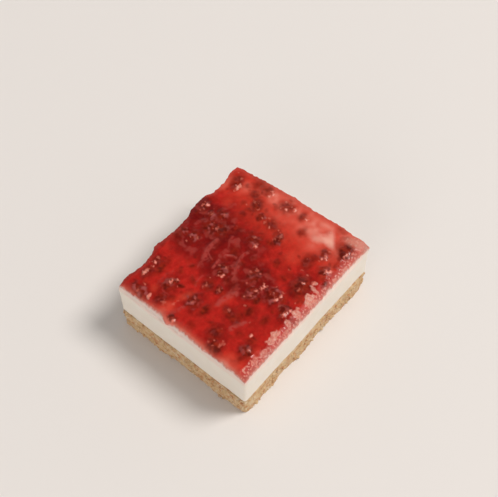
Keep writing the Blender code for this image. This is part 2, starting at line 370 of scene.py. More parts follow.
# Torn bits that lie deep in the jelly and only show as dark smudges
SMUDGES = ovals(
    (26, -8.5, 5, 4, 0, 0.45), (8.5, -10, 4.5, 3, 20, 0.5), (14, -2, 3, 4, 0, 0.5),
    (-25, -2.5, 5.5, 3.5, 0, 0.7), (-15, -15.5, 5, 3.5, 0, 0.6), (-14, -22.5, 5, 3, 0, 0.5),
    (-9.5, -14.8, 3.4, 2.6, 0, 0.8), (-22.5, -24, 1.6, 4.4, 0, 0.5), (-33, -3, 3.5, 4, 0, 0.35),
    (-22, 22.5, 7, 3.4, 0, 0.6), (-28.5, 10.5, 3, 3, 0, 0.4), (-23, 11.5, 1.8, 3.6, 20, 0.7),
    (-13.5, 14, 3, 2, -30, 0.5), (17.8, 15, 3.6, 3, 0, 0.45), (13, -29.8, 4, 2.2, 10, 0.6),
    (36.6, -20.5, 3.6, 4.4, 0, 0.32), (-32.4, -12.6, 4.6, 2.6, 0, 0.5), (11, 11.5, 4, 4, 0, 0.4),
    (22.5, 18.5, 3, 2.2, 0, 0.35), (-10, -4, 6, 3.5, 20, 0.35), (-18.5, 8, 2.2, 2.2, 0, 0.35),
    (-24.5, 24.5, 9, 5, -10, 0.35), (-18.5, -14, 5, 4, -30, 0.35), (19, -1.5, 6, 3, 20, 0.4),
    (-5.5, 28, 7, 4, 0, 0.4), (33.5, 19, 8, 5, -30, 0.45), (14.5, -28, 3, 4, 0, 0.35),
    (24.6, 13.4, 6.4, 5.2, 20, 0.7), (29.8, -27.2, 7.4, 6.8, 0, 0.8), (23.6, -21.2, 3.4, 3, 0, 0.5),
    (-33.8, 20.5, 3.4, 7, 0, 0.45), (-24.3, -18.8, 3, 4, 0, 0.35), (-24, -24, 3, 4.4, 20, 0.45),
    (-18, 22.5, 5, 3, 20, 0.3), (28.2, 17.8, 3.4, 3.2, 0, 0.4), (33, 16, 4.4, 4.6, 0, 0.4),
    (31.5, 5, 5, 5, 0, 0.35), (6.2, -23.8, 8, 6, 0, 0.6), (-31.5, -13.6, 8, 5.6, 25, 0.4),
    (-21, -12.6, 4.4, 3, 70, 0.5), (8.2, -9.5, 2.4, 4.6, 0, 0.4), (17.8, -3, 5, 4, 30, 0.4),
    (6.4, 16.6, 8, 6, 30, 0.5),
)

# Where the jelly is deep and dark
DEPTHS = ovals(
    (2.5, 21.5, 29, 23, -4, 0.82), (8.5, 30, 13, 11), (5, 15.5, 17, 10, 10, 0.95),
    (0, 7, 28, 21, -8, 0.8), (-4.5, -6, 19, 22, 8, 0.82), (-4.5, -17, 8, 11, 15, 0.7),
    (6, 1, 15, 11, -30, 0.55), (5.5, -23.5, 13, 9, 0, 0.6), (16.5, 12, 13, 26, -12, 0.36),
    (-34.5, 21.5, 8, 14, 0, 0.4), (-18.5, -14.5, 14, 11, -30, 0.4), (-31, -13.5, 13, 9, 15, 0.35),
    (-25, 0.5, 10, 10, 0, 0.25), (-12.5, -23, 16, 8, 0, 0.18), (-24, 25, 12, 6, 0, 0.3),
    (9, -11.5, 6, 6, 0, 0.2), (16.5, -19, 11, 6, 0, 0.25), (-6.5, -26, 8, 6, 0, 0.35),
    (-22, 30.2, 34, 3.6, 2, 0.5), (36.6, 8, 2.6, 50, 3, 0.5),
)

# Where it is thin over the cream, from salmon to milky, and partly a painted soft reflection of the light
HAZES = ovals(
    (36, -6, 44, 90, 0, 0.55), (31, -10.5, 11, 9, -20, 0.18), (25.5, -16, 9, 8, -20, 0.12),
    (15.5, -13.5, 14, 9, -15, 0.22), (31.5, 10.5, 8, 6, 0, 0.16), (25, 30.5, 11, 5, 0, 0.38),
    (28, 23, 9, 7, 0, 0.22), (18, 23.5, 6, 6, 0, 0.25), (22, -25.5, 18, 7, 0, 0.15),
    (17, -27.5, 10, 4, 0, 0.22), (36, -28, 6, 13, 15, 0.3), (35, -15.5, 5, 6, 0, 0.12),
    (-33, 9, 9, 7, -15, 0.42), (-25, 7, 10, 4, -25, 0.38), (-35, -24, 9, 12, 0, 0.42),
    (1.5, -28, 6, 9, 0, 0.2), (-16.5, -6, 12, 4, -8, 0.2), (-37.6, 0, 5, 66, 0, 0.7),
    (-27, -28, 8, 4, 0, 0.3), (-30, 18.5, 6, 4, 0, 0.2),
)

# Broken pale patches: near the front, a film of jelly over the cream with a painted reflection of the light;
# further back, painted glints
PATCHES = ovals(
    (-17, -29.2, 7, 2.8, 4, 0.9), (-9.2, -29.4, 2.6, 3.2, 0, 0.7), (-4.2, -29.6, 4.4, 4.2, 0, 0.9),
    (4, -29.6, 5.4, 4.4), (8.2, -28.2, 1.8, 4.2, -10, 0.8), (10.4, -27, 1.8, 1.6, 0, 0.8),
    (17, -31.4, 2.8, 1.1, 0, 0.7), (23.5, -31.4, 2.8, 1.1, 0, 0.7), (-24, -30.6, 5, 2.2, 0, 0.6),
    (-29, -30.2, 4, 2.4, 0, 0.5), (-12.5, -31.2, 4, 1.2, 0, 0.5), (35.6, -28.6, 3.6, 8, 20, 0.45),
    (26.8, 25, 3.6, 1.3, 14, 0.9), (-27, 26.2, 3.2, 1.2, -5, 0.6), (-34, 17.6, 2.6, 1.3, 20, 0.6),
)

# Where the film is drawn thin over the right corner and looks dusty pink
CORNER = Oval(35.6, -28.6, 5.4, 10.0, 20, 0.5)

# Where the jelly's front edge is gritty with pale flecks, partly painted glints of the light
FLECKS = ovals(
    (27, -31.6, 28, 3.6, 4, 0.85), (-31.5, -31, 14, 5), (0, -31.8, 60, 3, 0, 0.9),
    (36.6, -29, 3.4, 8, 10, 0.8),
)

# Where the camera and the key light stand, seen from the slice: the little wet knobs lean so that they glint,
# and a highlight is painted over each
EYE = Vector((-141.5, -121.85, 319.8))
KEY_DIRECTION = Vector((0.42, -0.40, 0.81))
GLINTS = ovals(
    (33, -17.2, 1.8, 1), (11, 30.1, 1.6, 1.4), (11.9, 28.6, 1.8, 1.6), (31.2, 12.5, 1.8, 1.6),
    (33, 11.6, 1.8, 1.4), (34.1, 12.9, 1.4, 1.2), (30.5, 3.2, 1.8, 1.5), (32.4, 0.1, 2.2, 1.6),
    (9.1, 1.1, 2.2, 2), (31.7, -6.3, 1.8, 1.4), (22, -23.7, 2, 1.6), (21, -22, 1.6, 1.4),
    (28, -28.5, 2.6, 1.5), (30.4, -29.8, 1.6, 1.1), (17, -27.2, 2.4, 2), (18.1, -28.2, 2, 1.6),
    (7.6, -23.8, 1.9, 1.4), (10.1, -26.5, 2.2, 1.8), (-7.6, -26.5, 2.4, 1.8), (-5, -27.1, 1.6, 1.4),
    (-4.5, -20.2, 2.2, 1.7), (-2.5, -20.8, 2, 1.6), (-6.5, -11.9, 2, 1.7), (-3, -12.9, 2.8, 2.2),
    (-9.7, 2.3, 2, 1.6, -35), (-24, 15.4, 2.4, 1.6), (-22, 13.9, 1.8, 1.4), (-33.8, 17.5, 2.8, 1.3, 25),
    (-27, 26.1, 3.4, 1.8), (-21.3, 26.2, 2, 1.6), (-36, 3.4, 1.8, 1.4), (-22, -22.7, 1.8, 1.5),
    (26.8, 25.1, 4.2, 2.2),
)

# Fainter ones, which lean only part of the way
GLIMMERS = ovals(
    (25.4, 14.9, 1.8, 1.4), (11.8, 3.7, 1.6, 1.4), (18.5, -3.5, 3, 1.4), (16.4, -2.5, 1.6, 1.3),
    (4, -24, 1.5, 1.2), (-0.6, -20.3, 1.8, 1.4), (-9.3, -12.2, 1.8, 1.5), (-1.3, -4.8, 2.2, 1.4),
    (1, -6.5, 2, 1.5), (-15, -0.9, 2.2, 1.8), (-5.8, 3.5, 1.8, 1.5), (-32.5, 11.4, 2.2, 1.6),
    (-30.4, 8.2, 1.7, 1.2), (-28.3, 7.8, 1.2, 0.9), (-35, 22.4, 1.8, 1.5), (-19, 26.9, 2, 1.6),
    (-32.5, -16.6, 2, 1.6), (-31, -16.9, 2, 1.6), (-19.2, -9.4, 1.8, 1.6), (-27.5, -26.1, 2.2, 1.8),
    (5.8, 18.1, 2.2, 1.8), (-2.4, 21.3, 1.6, 1.3), (9.5, 24.3, 1.7, 1.1), (12.4, 20.1, 1.8, 1.4),
    (22.6, 5.7, 2.4, 1.1, -50), (20, 5.7, 1.8, 1.4), (31, 26.9, 1.6, 1.3), (-25.4, 3.1, 1.8, 1.5),
    (8.9, -15.3, 1.3, 1), (-18.2, -18.8, 1.3, 1.1), (-16.6, 4.3, 1.5, 1.3),
)

# The milky patch near the right corner, a painted soft reflection of the light on thin jelly, which ends at a
# fold in the jelly
MILKY = ovals(
    (28.9, -20, 3.2, 8.6, -8, 0.62), (27.4, -15.6, 3, 5.6, 25, 0.42), (30.8, -19.4, 5, 5.6, 0, 0.45),
    (28.4, -12.8, 4, 5, 0, 0.2), (32, -18.6, 6, 2.4, 30, 0.3),
)
FOLD = (Vector((26.6, -24.4)), Vector((34.8, -18.4)))
# No torn bits lie in and above it
CALM = Oval(29.0, -16.0, 14.0, 21.0)

# Strands of pulp: from, to, half width, bend, strength
FIBRES = tuple(Fibre(*row) for row in (
    (-8, 13, 1.5, 14.5, 1.5, 1, 0.9), (-12.5, 12.5, -7, 12, 0.8, 0.4, 0.5), (-9, 7.7, -5, 7.9, 0.8, 0.2),
    (-5.5, 13.5, -6.5, 10.5, 0.8, 0.2, 0.7), (1.5, 8, 6.5, 11.5, 0.9, 0.4, 0.5),
    (-2, 7, 0.3, 3.8, 0.9, 0.3, 1.2), (-3, 0.5, 5, 1.5, 1.1, 0.9, 0.8),
    (-8, -2.5, -2, 0.8, 1.8, 0.6, 0.8), (-20, -4.8, -12.5, -6.8, 1.7, 0.9),
    (-12.5, -6.5, -9.5, -6.3, 0.8, 0.2, 0.5), (-24.8, -15.2, -20, -17.5, 1.7, 0.3),
    (-29, 4, -36, 8.5, 1.3, 0.4, 0.6), (-28, 16.5, -29, 12.5, 0.7, -0.4, 0.5),
    (-19.5, 7, -14.5, 8, 0.8, 0.5, 0.4), (2, 26, 6, 24, 1.4, 0.5, 0.5),
    (12, 22.5, 19, 20.5, 1.2, 0.6, 0.4), (-8, -13, -9, -9.5, 0.7, 0.4, 0.6),
    (-27, 19, -20, 18, 0.8, 0.4, 0.3), (9, 15, 11.5, 13.5, 0.8, 0.2, 0.5),
    (-6, -22.5, -2.5, -21.5, 0.8, 0.3, 0.5),
))


@dataclass(frozen=True)
class Manner:
    """How a berry shows: how dark, milky, high and bumpy, how soft its outline is and how broken."""

    dark: float
    milky: float
    high: float
    bumpy: float
    soft: float
    broken: float


@dataclass
class Fruit:
    """The crushed fruit in the jelly: soft lumps of torn berry, and bits torn off them."""

    manners: dict[Lie, Manner] = field(default_factory=lambda: {
        PROUD: Manner(0.92, 0.5, 0.50, 0.20, 0.7, 1.0),
        SMOOTH: Manner(0.96, 0.1, 0.50, 0.10, 0.9, 0.6),
        FROSTED: Manner(0.82, 0.95, 0.42, 0.19, 0.8, 0.9),
        SUNK: Manner(0.78, 0.2, 0.16, 0.04, 1.2, 0.4)})
    bits: int = 170
    bit_size: tuple[float, float] = (1.3, 3.4)
    bit_stretch: float = 2.0
    bit_strength: tuple[float, float] = (0.3, 1.0)
    sparks: int = 80
    spark_size: tuple[float, float] = (0.5, 1.0)
    spark_stretch: float = 1.6
    spark_lean: tuple[float, float] = (0.2, 0.7)
    # Where bits lie, how many of them lie by a berry, and how far from its middle, in shares of its half size
    field_x: tuple[float, float] = (-36.5, 36.5)
    field_y: tuple[float, float] = (-31.5, 31.0)
    near_berry: float = 0.35
    bit_nearest: float = 0.8
    spark_nearest: float = 0.3
    farthest: float = 1.7
    seed: int = 24

    def beside(self, draw: random.Random, nearest: float) -> tuple[float, float]:
        """Draws a place in or round one of the berries.

        Args:
            draw: The random draws.
            nearest: How close to the berry's middle it may be, in shares of its half size.

        Returns:
            X and Y in mm.
        """
        berry = BERRIES[draw.randrange(len(BERRIES))]
        way, far = draw.uniform(0.0, FULL_TURN), draw.uniform(nearest, self.farthest)
        along, across = far * math.cos(way), far * math.sin(way)
        return berry.x + along * berry.length / 2.0, berry.y + across * berry.width / 2.0

    def torn_bits(self) -> list[Oval]:
        """Scatters the torn bits, many of them round the berries and none in the milky patch.

        Returns:
            One oval for each, with its strength.
        """
        draw = random.Random(self.seed)
        low, high = self.bit_size
        found = []
        for _ in range(self.bits):
            size = low + (high - low) * draw.random() ** 2
            x, y = draw.uniform(*self.field_x), draw.uniform(*self.field_y)
            if draw.random() < self.near_berry:
                x, y = self.beside(draw, self.bit_nearest)
            bit = Oval(x, y, size * draw.uniform(1.0, self.bit_stretch), size, draw.uniform(0.0, 180.0),
                       draw.uniform(*self.bit_strength))
            if CALM.reach(x, y) > 1.0:
                found.append(bit)
        return found

    def tiny_glints(self) -> list[tuple[Oval, float]]:
        """Scatters small glints round the berries.

        Returns:
            One oval for each, and how far it leans to the light.
        """
        draw = random.Random(self.seed + 1)
        found = []
        for _ in range(self.sparks):
            x, y = self.beside(draw, self.spark_nearest)
            size = draw.uniform(*self.spark_size)
            spark = Oval(x, y, size * draw.uniform(1.0, self.spark_stretch), size, draw.uniform(0.0, 180.0))
            found.append((spark, draw.uniform(*self.spark_lean)))
        return found


@dataclass
class Bumps:
    """What the fruit does to the jelly over it, one value for each point."""

    lift: Array
    dark: Array
    frost: Array
    tone: Array
    rough: Array
    # Where a highlight is painted over the wet knobs and glints
    painted_glint: Array


@dataclass
class JellySheet:
    """The thin set jelly: glossy, drooping to its cut edge, and drawn up over the crushed fruit."""

    fruit: Fruit
    # Cells along X and Y, and the rows at the rim that are drawn finer than the rest
    cells: tuple[int, int] = (312, 268)
    edge_rows: float = 0.026
    edge_width: float = 0.011
    round_radius: float = 0.35
    # What blots, mottles and tears the berries
    blot: Waver = Waver(1.0, 2.4, 13.0)
    mottle: Waver = Waver(1.0, 1.2, 17.0)
    torn_skin: Waver = Waver(1.0, 2.0, 19.0)
    # The outline: torn and nicked, but calm at the corners, and how fast it fades inwards
    torn: Waver = Waver(0.3, 2.1)
    nicks: Waver = Waver(0.28, 1.3, 5.0)
    calm_ends: float = 12.0
    fade_power: int = 6
    # The cut side, whose foot lies on the cream
    foot: float = 25.3
    foot_inset: float = 0.15
    wall_levels: tuple = (0.2, 0.4, 0.6, 0.8, 1.0)
    wall_height: float = 2.2
    wall_start: float = 0.5
    wall_full: float = -0.7
    # How much further down the red reaches on the two far sides
    far_red: float = 1.2
    # The top: how far it has settled, its swell, its grain, and how far smudges and fibres raise it
    settled: float = 0.1
    swells: tuple = (Waver(0.16, 9.0), Waver(0.10, 3.4, 4.0))
    grain: Waver = Waver(1.0, 1.5, 2.0)
    grain_calm: float = 0.04
    grain_rough: float = 0.08
    smudge_rise: float = 0.2
    smudge_rim: Edge = Edge(1.4, 0.2)
    fibre_rise: float = 0.18
    # Width and depth of the droop towards each side: front, right, back, left
    droop_width: tuple = (4.6, 2.2, 2.2, 3.0)
    droop_depth: tuple = (1.15, 0.2, 0.2, 0.6)
    droop_waver: float = 0.35
    droop_power: float = 1.7
    # How high the wet knobs stand, how far the fainter ones lean, and what breaks their outline
    knob_rise: float = 0.12
    faint: float = 0.45
    knob_grit: Waver = Waver(0.8, 0.75, 33.0)
    # How dull the gritty strip along the front is, and how light the brightest grains of the pale patches are,
    # painted as glints in the cut side's pale colour
    strip_satin: float = 0.9
    bright_grains: float = 0.32
    # How each kind of patch fades
    deep_rim: Edge = Edge(1.25, 0.8, wave=0.16, fine=0.08)
    haze_rim: Edge = Edge(1.25, 0.3, wave=0.14, mid=0.1)
    milky_rim: Edge = Edge(1.7, 0.2, mid=0.25, fine=0.15)
    dark_rim: Edge = Edge(1.6, 0.1, mid=0.3, fine=0.12)
    patch_rim: Edge = Edge(1.15, 0.75, mid=0.5, fine=0.6)
    fleck_rim: Edge = Edge(1.2, 0.5, mid=0.4)
    corner_rim: Edge = Edge(1.3, 0.6, mid=0.3)

    def side(self, number: int, share: Array) -> tuple[Array, Array]:
        """Points on one side of the jelly.

        Args:
            number: Which side, from the front anticlockwise.
            share: How far along it, 0 to 1.

        Returns:
            X and Y of each point.
        """
        (ax, ay), (bx, by) = JELLY_CORNERS[number], JELLY_CORNERS[(number + 1) % 4]
        length = math.hypot(bx - ax, by - ay)
        ends = np.minimum(1.0, self.calm_ends * np.minimum(share, 1.0 - share))
        spot = share * length, np.full_like(share, 20.0 * number)
        out = eased(JELLY_WANDER[number], share) + ends * (self.torn.at(*spot) + self.nicks.at(*spot))
        dx, dy = bx - ax, by - ay
        return ax + dx * share + out * dy / length, ay + dy * share - out * dx / length

    def plan(self, u: Array, w: Array) -> tuple[Array, Array]:
        """Points of the jelly in plan, blended from its four sides.

        Args:
            u: Share along X.
            w: Share along Y.

        Returns:
            X and Y of each point.
        """
        sides = self.side(0, u), self.side(1, w), self.side(2, 1.0 - u), self.side(3, 1.0 - w)
        fades = [part ** self.fade_power for part in (1.0 - w, u, w, 1.0 - u)]
        x, y = between(JELLY_CORNERS, u, w)
        for i, (found, (a, b, c, d)) in enumerate(zip((x, y), zip(*JELLY_CORNERS))):
            straight = a + (b - a) * u, b + (c - b) * w, d + (c - d) * u, a + (d - a) * w
            found += sum((side[i] - line) * fade for side, line, fade in zip(sides, straight, fades))
        return x, y

    def cream_plan(self, u: Array, w: Array) -> list[Array]:
        """Points of the cream in plan, a little inside its outline, on which the jelly's foot lies."""
        wide, deep = (1.0 - 2.0 * self.foot_inset / span for span in SPAN)
        return between(CREAM_CORNERS, 0.5 + (u - 0.5) * wide, 0.5 + (w - 0.5) * deep)

    def bumps(self, spots: Spots) -> Bumps:
        """Works out what the fruit does to the jelly.

        Args:
            spots: The jelly's points.

        Returns:
            The bumps.
        """
        x, y, fine = spots.x, spots.y, spots.fine
        made = Bumps(*(np.zeros_like(x) for _ in range(6)))
        blot, mottle, torn = (noises.at(x, y) for noises in (self.blot, self.mottle, self.torn_skin))
        for berry in BERRIES:
            manner = self.fruit.manners[berry.lie]
            near = np.nonzero(berry.reach(x, y) < 2.4)[0]
            reach = berry.reach(x[near], y[near]) + manner.broken * (0.4 * blot[near] + 0.22 * mottle[near])
            body = smooth(0.95 + 0.5 * manner.soft, 0.95 - 0.5 * manner.soft, reach)
            lift = (berry.strength * manner.high * smooth(1.6, 0.0, reach)
                    + manner.bumpy * body * (torn[near] + 0.6 * mottle[near]))
            made.lift[near] = np.where(np.abs(lift) > np.abs(made.lift[near]), lift, made.lift[near])
            made.dark[near] = np.maximum(made.dark[near], manner.dark * body)
            # The frosted skin, partly a painted soft sheen on the berry crowns
            frost = smooth(1.2, 0.6, reach) * smooth(-0.05, 0.45, torn[near] + 0.3 * mottle[near])
            made.frost[near] = np.maximum(made.frost[near], manner.milky * frost)
            made.rough[near] = np.maximum(made.rough[near], smooth(2.1, 0.9, reach))
        made.tone[:] = np.clip(0.3 + 0.6 * mottle + 0.6 * blot, 0.0, 1.0)
        for bit in self.fruit.torn_bits():
            near = np.nonzero(np.hypot(x - bit.x, y - bit.y) < 0.9 * bit.length + 0.6)[0]
            reach = bit.reach(x[near], y[near]) + 0.5 * fine[near] + 0.3 * blot[near]
            made.lift[near] += 0.05 * bit.strength * bit.width * smooth(1.6, 0.0, reach)
            made.dark[near] = np.maximum(made.dark[near], 0.7 * bit.strength * smooth(1.7, 0.0, reach))
        return made

    def lean(self, level: Array, spots: Spots, made: Bumps) -> None:
        """Turns the little wet knobs so that each throws the key light at the camera, and notes their places
        for a painted highlight.

        Args:
            level: Z of each point in mm, which is changed.
            spots: The jelly's points.
            made: What the fruit does to the jelly, which takes note of the knobs where a highlight is painted.
        """
        x, y, key = spots.x, spots.y, KEY_DIRECTION.normalized()
        grit = 0.7 * spots.fine + self.knob_grit.at(x, y)
        knobs = [(glint, 1.0) for glint in GLINTS] + [(glint, self.faint) for glint in GLIMMERS]
        for glint, share in knobs + self.fruit.tiny_glints():
            view = (EYE - Vector((glint.x, glint.y, JELLY_TOP))).normalized()
            half = (view + key).normalized()
            near = np.nonzero(glint.reach(x, y) < 2.2)[0]
            if near.size == 0:
                continue
            dx, dy = x[near] - glint.x, y[near] - glint.y
            middle = level[near][np.argmin(np.hypot(dx, dy))]
            facet = middle + self.knob_rise - (half.x * dx + half.y * dy) / half.z
            part = share * smooth(1.2, 0.2, glint.reach(x[near], y[near]) + grit[near])
            level[near] += (facet - level[near]) * part
            # Notes where the knob gets its painted highlight
            made.painted_glint[near] = np.maximum(made.painted_glint[near], part)

    def height(self, spots: Spots, made: Bumps) -> Array:
        """The jelly's top.

        Args:
            spots: The jelly's points.
            made: What the fruit does to it.

        Returns:
            Z of each point in mm.
        """
        x, y, rims = spots.x, spots.y, spots.rims
        level = JELLY_TOP - self.settled + sum(swell.at(x, y) for swell in self.swells)
        rough = np.maximum(made.rough, 0.8 * smooth(5.5, 2.0, rims[0]))
        for smudge in SMUDGES:
            level += self.smudge_rise * self.smudge_rim.cover(smudge, spots)
        for fibre in FIBRES:
            level += self.fibre_rise * fibre.cover(x, y)
        level += made.lift * smooth(0.0, 1.6, rims.min(axis=0))
        level += (self.grain_calm + self.grain_rough * rough) * self.grain.at(x, y)
        self.lean(level, spots, made)
        for number, (rim, width, depth) in enumerate(zip(rims, self.droop_width, self.droop_depth)):
            span = width * (1.0 + self.droop_waver * drift(x, y, 7.0, 30.0 + number))
            level -= depth * np.maximum(0.0, 1.0 - rim / span) ** self.droop_power
        q = np.hypot(np.maximum(0.0, self.round_radius - np.minimum(rims[1], rims[3])),
                     np.maximum(0.0, self.round_radius - np.minimum(rims[0], rims[2])))
        q = np.minimum(q, self.round_radius)
        return level - (self.round_radius - np.sqrt(self.round_radius ** 2 - q * q))

    def fields(self, spots: Spots, made: Bumps) -> dict[str, Array]:
        """What the material reads at each vertex.

        Args:
            spots: The jelly's points.
            made: What the fruit does to the jelly.

        Returns:
            Named values of 0 to 1.
        """
        x, y, rims, wave, mid, fine = spots.x, spots.y, spots.rims, spots.wave, spots.mid, spots.fine
        depth = np.maximum(self.deep_rim.strongest(DEPTHS, spots), 0.5 * made.rough)
        # The haze is thin jelly over the cream and partly a painted soft reflection
        haze = sum(self.haze_rim.cover(oval, spots) for oval in HAZES)
        along = (FOLD[1] - FOLD[0]).normalized()
        above = (y - FOLD[0].y) * along.x - (x - FOLD[0].x) * along.y
        # The milky patch, a painted soft reflection
        milky = np.zeros_like(x)
        for oval in MILKY:
            milky += self.milky_rim.cover(oval, spots) * (1.0 - milky)
        milky *= smooth(-0.6, 1.6, above)
        berry = np.maximum(made.dark, 1.6 * self.dark_rim.strongest(SMUDGES, spots))
        pulp = np.max([fibre.cover(x + 0.9 * mid, y + 0.7 * wave) for fibre in FIBRES], axis=0)
        veil = smooth(0.0, 0.5, drift(x, y, 3.4, 51.0) + 0.3 * fine)
        pulp = np.maximum(0.75 * pulp * smooth(-0.8, 0.1, fine), 0.45 * veil * smooth(0.3, 0.8, depth))
        # Pale flecks along the front, partly painted glints, fewer over the dark berries
        grit = drift(x, y, 0.8, 41.0)
        flecked = smooth(0.06, 0.26, grit + 0.3 * fine)
        speckled = flecked * self.fleck_rim.strongest(FLECKS, spots) * (1.0 - 0.7 * made.dark)
        # The pale patches are partly painted reflections and glints of the light
        pale = np.maximum(self.patch_rim.strongest(PATCHES, spots), speckled)
        # The rim, paler towards the cut side and down it
        far = np.minimum(rims[1], rims[2]) + self.far_red
        inwards = np.minimum(np.minimum(rims[0], rims[3]), far) - self.wall_height * spots.down
        inwards += 0.25 * wave + 0.25 * fine + 0.3 * grit
        fringe = (0.28 * smooth(4.0, 0.3, inwards) + 0.4 * smooth(1.5, 0.1, inwards)) * (1.0 - 0.8 * depth)
        fringe += self.corner_rim.cover(CORNER, spots)
        # Painted glints: the brightest grains of the pale patches take the cut side's pale colour
        grains = self.bright_grains * pale * smooth(0.05, 0.4, drift(x, y, 0.85, 61.0))
        wall = np.maximum(grains, smooth(self.wall_start, self.wall_full, inwards))
        strip = self.strip_satin * smooth(5.0, 2.0, rims[0] + 0.8 * mid) * (1.0 - flecked)
        # The painted highlights take the wet knobs and half of the pale flecks along the front
        values = {"depth": depth + 0.22 * wave + 0.3 * mid + 0.15 * fine, "haze": haze + 0.15 * mid,
                  "milky": milky, "berry": berry, "frost": made.frost, "tone": made.tone, "pulp": pulp,
                  "pale": pale, "fringe": fringe, "painted_glint": np.maximum(made.painted_glint, 0.5 * speckled),
                  "wall": wall, "satin": np.maximum(wall, strip)}
        return {name: np.clip(value, 0.0, 1.0) for name, value in values.items()}

    def build(self, finish: Material) -> Object:
        """Makes the jelly.

        Args:
            finish: Its material.

        Returns:
            The piece.
        """
        bm = bmesh.new()
        place = bm.verts.layers.float_vector.new("place")
        bmesh.ops.create_grid(bm, x_segments=self.cells[0], y_segments=self.cells[1], size=1.0)
        stops = [(0.0, share, 1.0 - share, 1.0) for share in (self.edge_rows, self.edge_width)]
        for vert in bm.verts:
            vert[place] = (*np.interp(((vert.co.x + 1.0) / 2.0, (vert.co.y + 1.0) / 2.0), *stops), 0.0)
        rim = [edge for edge in bm.edges if edge.is_boundary]
        for level in self.wall_levels:
            grown = bmesh.ops.extrude_edge_only(bm, edges=rim)["geom"]
            for vert in (item for item in grown if isinstance(item, BMVert)):
                vert[place] = (vert[place].x, vert[place].y, level)
            rim = [item for item in grown if isinstance(item, BMEdge)
                   and all(v[place].z == item.verts[0][place].z for v in item.verts)
                   and item.is_boundary]
        bmesh.ops.contextual_create(bm, geom=rim)
        u, w, down = np.array([vert[place][:] for vert in bm.verts], dtype=float).T
        x, y = self.plan(u, w)
        foot_x, foot_y = self.cream_plan(u, w)
        spots = Spots(u, w, x + (foot_x - x) * down, y + (foot_y - y) * down, down)
        made = self.bumps(spots)
        z = self.height(spots, made)
        z += (self.foot - z) * down
        for vert, spot in zip(bm.verts, zip(spots.x, spots.y, z)):
            vert.co = spot
        piece = add_piece("berry_jelly_sheet", bm, finish, "berry_jelly")
        for name, value in self.fields(spots, made).items():
            attribute = piece.data.attributes.new(name, "FLOAT", "POINT")
            attribute.data.foreach_set("value", value.astype(np.float32))
        return piece


@dataclass
class Slab:
    """A layer with plain top and bottom and a worked side, built up in rings (mm)."""

    bottom: float
    top: float
    radius: float
    step: float
    rise: float

    def outline(self) -> list[tuple[Vector, Vector]]:
        """Points round the slice with rounded corners.

        Returns:
            Each point with its outward direction.
        """
        points = []
        corners = [Vector(corner) for corner in CREAM_CORNERS]
        for i, corner in enumerate(corners):
            after, before = corners[(i + 1) % 4], corners[i - 1]
            arrive, leave = (corner - before).normalized(), (after - corner).normalized()
            half = (math.pi - arrive.angle(leave)) / 2.0
            centre = corner + (leave - arrive).normalized() * self.radius / math.sin(half)
            first, last = Vector((arrive.y, -arrive.x)), Vector((leave.y, -leave.x))
            turns = max(3, round(self.radius * math.pi / 2.0 / self.step))
            for k in range(turns + 1):
                out = first.slerp(last, k / turns)
                points.append((centre + out * self.radius, out))
            start = centre + last * self.radius
            run = (after - corner).length - 2.0 * self.radius / math.tan(half)
            count = round(run / self.step)
            points += [(start + leave * run * k / count, last) for k in range(1, count)]
        return points

    def relief(self, spot: Vector) -> float:
        """How far the side stands out at a point."""
        return 0.0

    def lift(self, spot: Vector) -> float:
        """How far a ring is raised at a point."""
        return 0.0

    def shape(self) -> BMesh:
        """Stacks the rings.

        Returns:
            The closed slab in millimetres.
        """
        points = self.outline()
        rings = round((self.top - self.bottom) / self.rise)
        bm = bmesh.new()
        order = bm.verts.layers.int.new("order")
        bmesh.ops.create_circle(bm, cap_ends=True, radius=1.0, segments=len(points))
        for index, vert in enumerate(bm.verts):
            vert[order] = index
        cap = bm.faces[:]
        for ring in range(rings + 1):
            if ring > 0:
                moved = bmesh.ops.extrude_face_region(bm, geom=cap)["geom"]
                if ring > 1:
                    bmesh.ops.delete(bm, geom=cap, context="FACES_ONLY")
                cap = [item for item in moved if isinstance(item, BMFace)]
            for vert in cap[0].verts:
                place, out = points[vert[order]]
                spot = Vector((place.x, place.y, self.bottom + (self.top - self.bottom) * ring / rings))
                side = place + out * self.relief(spot)
                vert.co = (side.x, side.y, spot.z + self.lift(spot))
        return bm


@dataclass
class CreamLayer(Slab):
    """The thick layer of set cream cheese, cut with a wet knife."""

    bottom: float = CREAM_BOTTOM - 0.6
    top: float = CREAM_TOP + 0.2
    radius: float = 0.9
    step: float = 0.6
    rise: float = 0.5
    swell: float = 0.18
    swell_size: float = 16.0
    # The knife's drag marks, which run level, and small lumps
    drag: float = 0.05
    drag_length: float = 7.0
    drag_height: float = 0.9
    lump: float = 0.05
    lump_size: float = 2.2
    # How far its edges are softened, and from how near
    edge: float = 0.45
    edge_width: float = 1.2
    # How far its foot wanders up, over what height and in what steps
    wander: float = 0.5
    wander_height: float = 2.0
    wander_size: float = 2.6

    def relief(self, spot: Vector) -> float:
        """A slow swell, faint drag marks of the knife and edges that are softened."""
        swell = self.swell * noise.noise((spot - Vector((0.0, 0.0, CREAM_BOTTOM))) / self.swell_size)
        drag = self.drag * noise.noise((spot.x / self.drag_length, spot.y / self.drag_length,
                                        spot.z / self.drag_height))
        lumps = self.lump * noise.noise(spot / self.lump_size)
        near = min(self.top - spot.z, spot.z - self.bottom)
        return swell + drag + lumps - self.edge * max(0.0, 1.0 - near / self.edge_width) ** 2

    def lift(self, spot: Vector) -> float:
        """The line where it meets the biscuit wanders."""
        near = max(0.0, 1.0 - (spot.z - self.bottom) / self.wander_height)
        return near * self.wander * noise.noise((spot.x / self.wander_size, spot.y / self.wander_size, 3.0))

    def build(self, finish: Material) -> Object:
        """Makes the cream layer with its finish."""
        return add_piece("cream_cheese_layer", self.shape(), finish, "cream_cheese")


